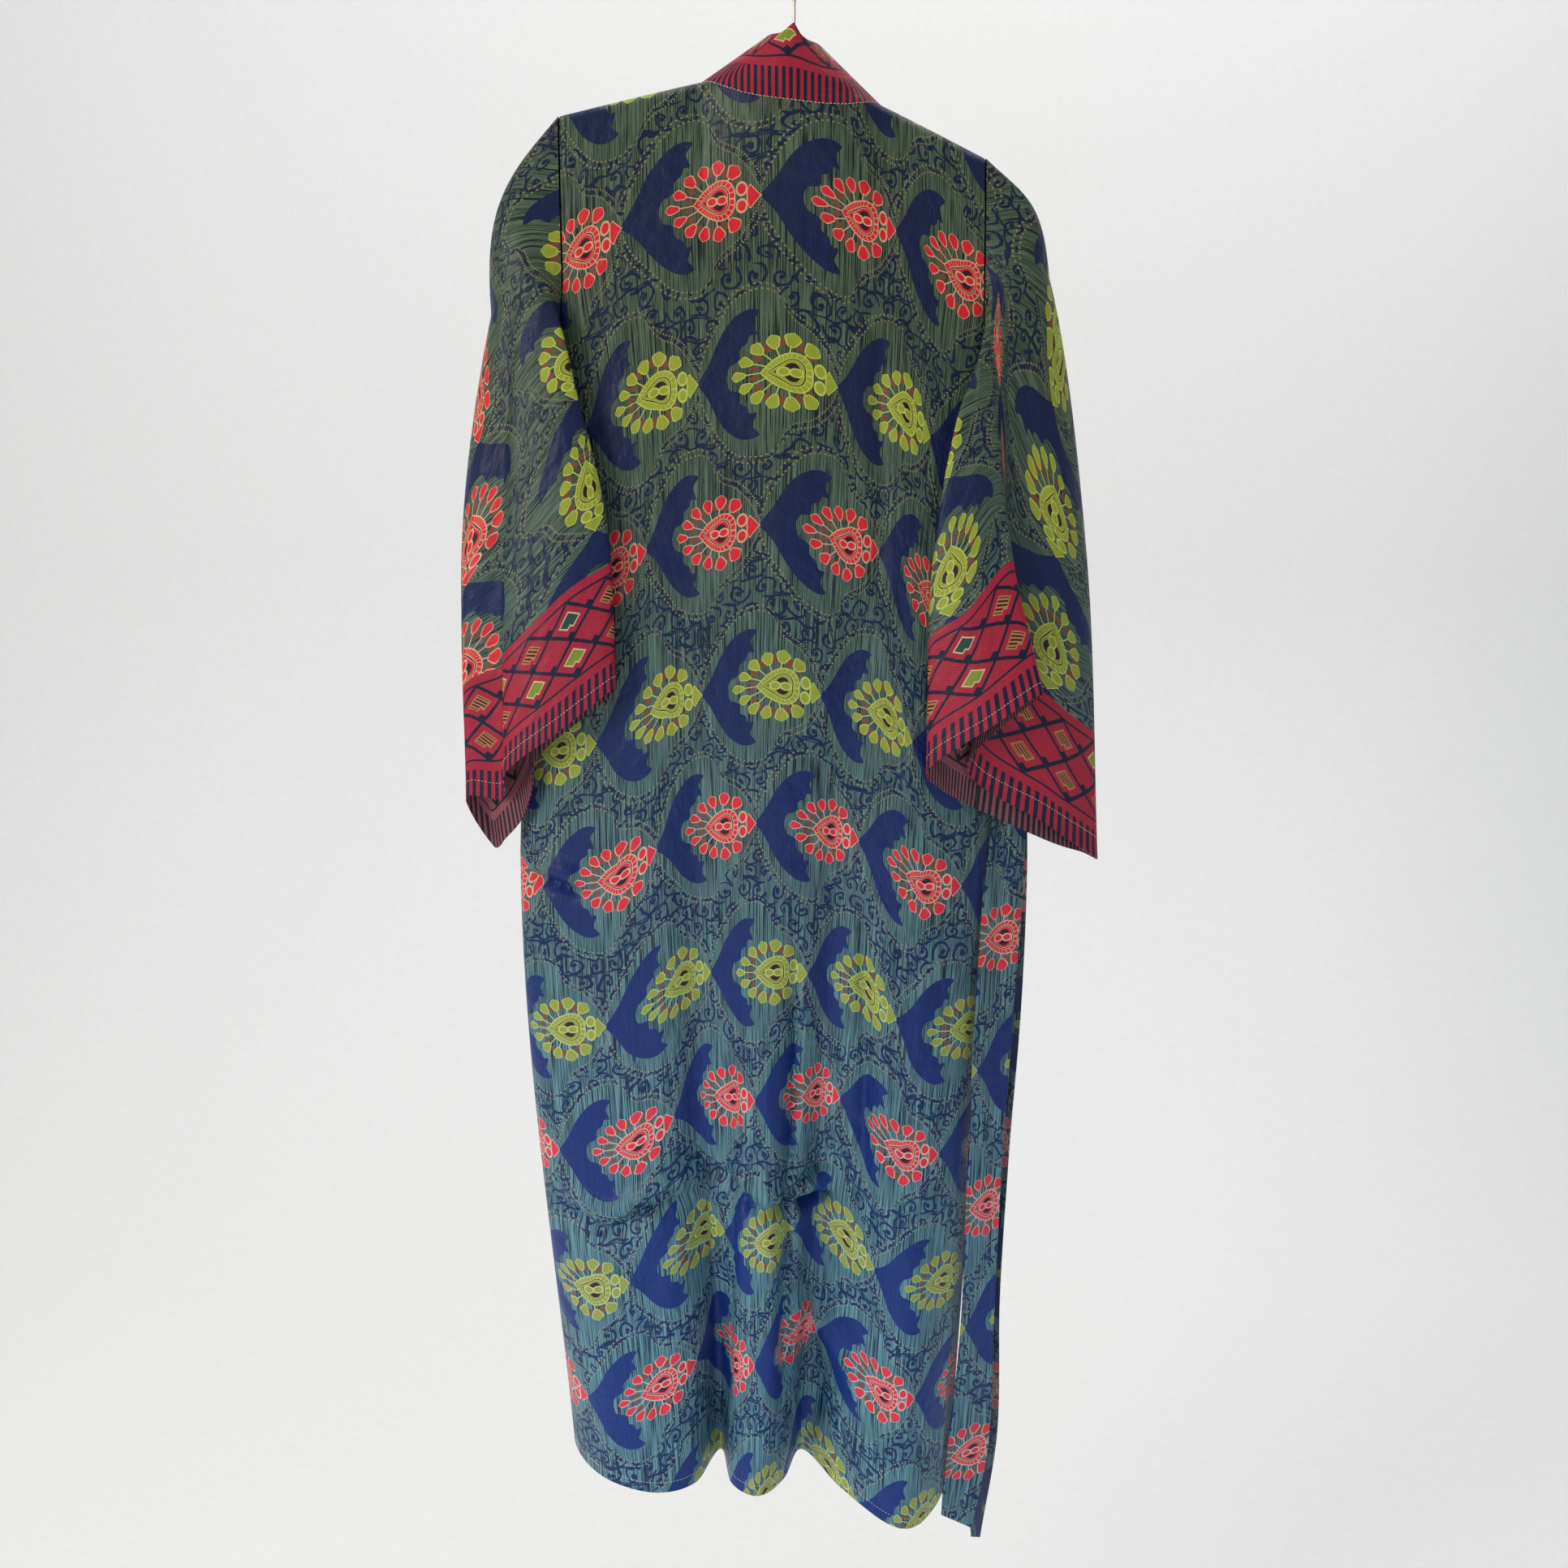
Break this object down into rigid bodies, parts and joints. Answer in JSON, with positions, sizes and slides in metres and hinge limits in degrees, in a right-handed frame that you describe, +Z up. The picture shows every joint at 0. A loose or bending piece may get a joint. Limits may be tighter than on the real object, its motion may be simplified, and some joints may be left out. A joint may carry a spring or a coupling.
{
  "type": "kimono robe on a hanger",
  "caption": "Long kimono-style robe of patterned silk with a red bordered neckband and cuffs and its own sash, hanging on a bar hanger with a wire hook.",
  "frame": {"origin": "inside of the crown of the hanger's hook, where a rail bears", "axes": "+Z up, +X to the right when the back of the robe is looked at; the back of the robe faces -Y and its fronts face +Y"},
  "size_m": [0.6338, 0.1773, 1.6751],
  "materials": {
    "blue_silk": "woven silk, navy and teal with red and green flowers",
    "red_border": "woven silk border, red and navy",
    "pale_wood": "satin varnish",
    "hook_steel": "plain wire"
  },
  "bodies": {
    "root": {"back": "blue_silk", "front_left": "blue_silk", "front_right": "blue_silk", "sleeve_left": "blue_silk", "sleeve_right": "blue_silk", "neckband": "red_border", "sash": "blue_silk", "belt_loop_left": "blue_silk", "belt_loop_right": "blue_silk", "hanger": "pale_wood", "hook": "hook_steel"}
  },
  "joints": []
}
